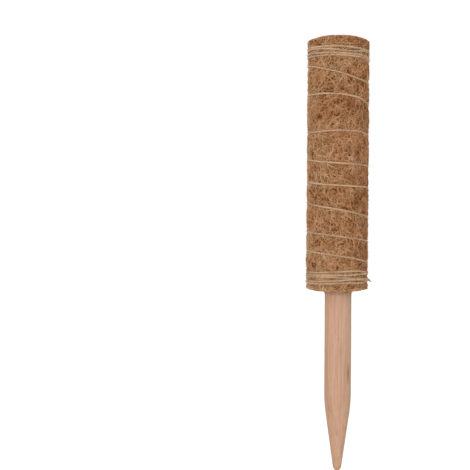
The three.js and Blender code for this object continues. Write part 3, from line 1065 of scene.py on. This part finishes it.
def make_fibres(material):
    """All the fibres: those of the side in zones up the roll, and those of its ends."""
    zone_height = COIR_LENGTH / len(FIBRE_ZONES)
    for index, zone in enumerate(FIBRE_ZONES):
        draw = np.random.default_rng(ZONE_SEED + index)
        low = index * zone_height
        high = low + zone_height
        groups = [
            side_fibres(draw, MATTED, low, high),
            side_fibres(draw, STRAW, low, high),
            loose_fibres(draw, LOOSE, low, high),
        ]
        place_fibres(zone, draw, groups, SIDE_WIDTHS, material)
    for end, plane, out in (("foot_end", 0, -1), ("top_end", COIR_LENGTH, 1)):
        draw = np.random.default_rng(END_SEED + out)
        groups = [
            end_fibres(draw, ON_END, plane, out),
            stub_fibres(draw, STUB, plane, out),
            rim_fibres(draw, RIM, plane, out),
        ]
        if out < 0:
            groups.append(skirt_fibres(draw, SKIRT))
        place_fibres(end, draw, groups, END_WIDTHS, material)


def bend_points(start, heading, towards, bend):
    """A quarter bend of the twine from one direction into another that is square to it."""
    turn = np.linspace(0, TAU / 4, BEND_POINTS)[:, None]
    return start + bend * (np.sin(turn) * heading + (1 - np.cos(turn)) * towards)


def twine_route():
    """Points evenly along the twine's centre and their places on it: tucked in, wound round, and off."""
    angle = TAU * TUCK_TURN
    height = twine_height(TUCK_TURN)
    radius = TWINE_RADIUS + off_centre(angle) - TUCK_BEND
    root = polar(radius - TWINE_DIAMETER, angle, height)
    around = polar(1, angle + TAU / 4, 0)
    tuck = bend_points(polar(radius, angle, height), polar(1, angle, 0), around, TUCK_BEND)

    first_turn = TUCK_TURN + 2 * TUCK_BEND / TURN_LENGTH
    last_turn = TAIL_TURN - 2 * TAIL_BEND / TURN_LENGTH
    turns = np.linspace(first_turn, last_turn, WINDING_POINTS)
    share = (turns - TUCK_TURN) / (TAIL_TURN - TUCK_TURN)
    lift = TAIL_LIFT * smoothstep(turns, TAIL_TURN - TAIL_LIFT_TURN, TAIL_TURN)
    radii = TWINE_RADIUS + noise(share, 0, SETTLE) + off_centre(TAU * turns) + lift
    winding = polar(radii, TAU * turns, twine_height(turns) + noise(share, 0, WAVER))

    angle = TAU * (TAIL_TURN - TAIL_BEND / TURN_LENGTH)
    leave = polar(TWINE_RADIUS + TAIL_LIFT + off_centre(angle), angle, twine_height(TAIL_TURN))
    around = polar(1, angle + TAU / 4, 0)
    off = np.array([math.cos(TAIL_SLOPE), 0, -math.sin(TAIL_SLOPE)])
    tail = bend_points(leave, around, off, TAIL_BEND)

    points = np.concatenate([[root], tuck, winding, tail, [tail[-1] + off * TAIL_STRAIGHT]])
    lengths = np.concatenate([[0], np.cumsum(np.linalg.norm(np.diff(points, axis=0), axis=1))])
    stretches = round(lengths[-1] / PLY_STEP / PLY_STRETCH)
    places = np.linspace(0, lengths[-1], stretches * PLY_STRETCH + 1)
    return np.stack([np.interp(places, lengths, values) for values in points.T], axis=-1), places


def band_share(places):
    """1 along the twine's two bands of close turns, 0 along the open turns."""
    top_end = (TOP_BAND_TURNS - TUCK_TURN) * TURN_LENGTH
    foot_start = places[-1] - (TAIL_TURN - BOTTOM_BAND_START) * TURN_LENGTH
    top = 1 - smoothstep(places, top_end, top_end + BAND_FADE)
    return top + smoothstep(places, foot_start - BAND_FADE, foot_start)


def make_plies(route, places, banded):
    """Two plies laid round each other along the twine's route."""
    _, across, up = path_frame(route, TWINE_TILT)
    share = places / places[-1]
    to_end = places[-1] - places
    taper = TAIL_END_SHARE + (1 - TAIL_END_SHARE) * smoothstep(to_end, 0, TAIL_TAPER)
    starts = np.arange(len(PLY_SWELLS))[:, None] / len(PLY_SWELLS)
    turn = (TAU * (places / PLY_TWIST + starts))[:, :, None]
    paths = route + PLY_OFFSET * taper[:, None] * (np.cos(turn) * across + np.sin(turn) * up)
    swells = np.array([noise(share, 0, layers) for layers in PLY_SWELLS])
    shades = np.array([noise(share, 0, layers) for layers in PLY_SHADES])
    radii = PLY_RADIUS * (1 + BAND_FULLER * banded) * taper * (1 + swells)
    tones = (PLY_TONE + shades - BAND_DARKER * banded) * smoothstep(to_end, *TAIL_SHADE)
    return tubes("twine_plies", paths, radii, PLY_SIDES, tones, PLY_STRETCH)


def make_hairs(route, banded):
    """Loose hairs of jute that start on the yarn, run along it and stand off towards their tips."""
    draw = np.random.default_rng(HAIR_SEED)
    along, across, up = path_frame(route, TWINE_TILT)
    anywhere = draw.integers(FIRST_HAIR, len(route) + LAST_HAIR, HAIRS_ANYWHERE)
    in_bands = draw.choice(np.flatnonzero(banded[:LAST_HAIR] > 0.5), HAIRS_IN_BANDS)
    root = np.concatenate([anywhere, in_bands])
    each = (len(root), 1, 1)
    turn = draw.uniform(0, TAU, each)
    reach = draw.uniform(*HAIR_REACH, each)
    way = np.where(draw.uniform(size=each) < 0.5, -1, 1)
    sway = draw.normal(0, HAIR_SWAY, (len(root), 1, 3))
    stand = draw.uniform(*HAIR_STAND, each)
    along, across, up, route = (directions[root, None] for directions in (along, across, up, route))
    share = np.linspace(0, 1, HAIR_POINTS)[:, None]
    out = np.cos(turn) * across + np.sin(turn) * up
    paths = route + out * (HAIR_ROOT + stand * share**HAIR_RISE)
    paths = paths + reach * (way * along * share + sway * share**2)
    radii = draw.uniform(*HAIR_RADIUS, (len(root), 1)) * (1 + BAND_HAIR_FULLER * banded[root, None])
    tones = draw.uniform(*HAIR_TONE, (len(root), 1))
    return tubes("twine_hairs", paths, radii, HAIR_SIDES, tones)


def make_twine(material):
    """The whole twine: its plies, which replace the solid, and its hairs."""
    route, places = twine_route()
    banded = band_share(places)
    plies = place_piece(make_plies(route, places, banded), material)
    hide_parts("jute_twine")
    place_piece(make_hairs(route, banded), material)


def curve(start, corner, end, count):
    """Points on a curve that sets out towards a corner and comes to its end from there."""
    share = np.linspace(0, 1, count)[:, None]
    start, corner, end = np.array([start, corner, end])
    return (1 - share) ** 2 * start + 2 * share * (1 - share) * corner + share**2 * end


def stake_profile():
    """The stake's outline: rounded tip, straight taper, eased shoulder, shank and chamfered top."""
    slope = (STAKE_RADIUS - TIP_RADIUS) / POINT_LENGTH
    shoulder = STAKE_TIP + POINT_LENGTH
    tip_side = (TIP_RADIUS + slope * TIP_ROUNDING, STAKE_TIP + TIP_ROUNDING)
    taper_top = (STAKE_RADIUS - slope * SHOULDER_EASE, shoulder - SHOULDER_EASE)
    shank_foot = (STAKE_RADIUS, shoulder + SHOULDER_EASE)
    shank_top = (STAKE_RADIUS, STAKE_TOP - TOP_CHAMFER)
    stretches = [
        curve((TIP_FLAT, STAKE_TIP), (TIP_RADIUS, STAKE_TIP), tip_side, TIP_ROWS),
        np.linspace(tip_side, taper_top, TAPER_ROWS)[1:-1],
        curve(taper_top, (STAKE_RADIUS, shoulder), shank_foot, SHOULDER_ROWS),
        np.linspace(shank_foot, shank_top, SHANK_ROWS)[1:],
        [(STAKE_RADIUS - TOP_CHAMFER, STAKE_TOP)],
    ]
    return np.concatenate(stretches)


def make_stake():
    """The stake, a little out of round and with fine ridges along its grain."""

    def shape(radii, angles, heights):
        across = angles / TAU
        up = (heights - STAKE_TIP) / (STAKE_TOP - STAKE_TIP)
        ridges = noise(across, up, GRAIN_RIDGES)
        flats = np.abs(noise(across, up, FLAT_PLACES))
        return radii + np.clip(radii / STAKE_RADIUS, 0, 1) * (ridges - flats), heights

    return lathe("stake_shaft", stake_profile(), ROUND_STEPS, shape, solid=True)


def make_tube():
    """The plastic pipe with small rounded edges at its two ends."""
    outer = TUBE_RADIUS - TUBE_EDGE
    inner = TUBE_BORE + TUBE_EDGE
    low = TUBE_FOOT + TUBE_EDGE
    high = TUBE_TOP - TUBE_EDGE
    edges = []
    for quarter, centre in enumerate([(outer, low), (outer, high), (inner, high), (inner, low)]):
        turn = TAU / 4 * np.linspace(quarter - 1, quarter, EDGE_ROWS)
        edges.append(np.array(centre) + TUBE_EDGE * np.stack([np.cos(turn), np.sin(turn)], axis=-1))
    return lathe("tube_pipe", np.concatenate(edges), ROUND_STEPS)


def make_floor():
    """A plain pale floor under the stake's tip, which shows white and keeps the pole's shadow."""
    corners = FLOOR_REACH * np.array([(-1, -1, 0), (1, -1, 0), (1, 1, 0), (-1, 1, 0)])
    floor = make_mesh("floor", corners + (0, 0, STAKE_TIP), np.array([[0, 1, 2, 3]]))
    nodes = new_material("floor_white")
    white = nodes.finish(
        Base_Color=FLOOR_COLOR,
        Roughness=0.9,
        Specular_IOR_Level=0.0,
        Emission_Color=WHITE,
        Emission_Strength=nodes.math("MULTIPLY", nodes.seen(), FLOOR_GLOW),
    )
    floor.data.materials.append(white)


def make_light():
    """A surrounding that shows white and lights the pole less strongly, and the lamps."""
    nodes = Nodes(bpy.data.worlds.new("surround"), "Background")
    strength = nodes.spread(nodes.seen(), WORLD_STRENGTH, 1.0)
    bpy.context.scene.world = nodes.finish(Color=WHITE, Strength=strength)
    for name, place, spread, power in LAMPS:
        lamp = bpy.data.lights.new(name, "SUN")
        lamp.angle = math.radians(spread)
        lamp.energy = power
        holder = add_object(name, lamp)
        holder.location = place
        holder.rotation_euler = Vector(place).to_track_quat("Z", "Y").to_euler()


def make_camera():
    """The photograph's camera: level, with the pole to the right of the middle and leaning a little."""
    half = PHOTO_SIZE / 2
    data = bpy.data.cameras.new("camera")
    data.lens = data.sensor_width / 2 * CAMERA_DISTANCE / (half * MM_PER_PIXEL)
    camera = add_object("camera", data)
    right, below = [(pixel - half) * MM_PER_PIXEL for pixel in COIR_FOOT_PIXEL]
    foot = Matrix.Rotation(-LEAN, 2) @ Vector((right, -below))
    level = Matrix.Rotation(TAU / 4, 4, "X")
    roll = Matrix.Rotation(LEAN, 4, "Z")
    place = Vector((-foot.x, -CAMERA_DISTANCE, -foot.y)) * MM
    camera.matrix_world = Matrix.Translation(place) @ level @ roll
    bpy.context.scene.camera = camera


make_camera()
make_light()
make_floor()

bed = place_piece(make_coir_bed(), coir_bed_painted_shade_material())
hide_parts("coir_mat")
make_fibres(fibre_material())
make_twine(twine_material())
stake = place_piece(make_stake(), wood_material())
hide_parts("stake")
tube = place_piece(make_tube(), tube_material())
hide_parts("core_tube")

steel = steel_material()
for brad in ("left_brad", "right_brad"):
    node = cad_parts[brad]
    node.data.materials.clear()
    node.data.materials.append(steel)

bpy.context.scene.view_settings.view_transform = "Standard"
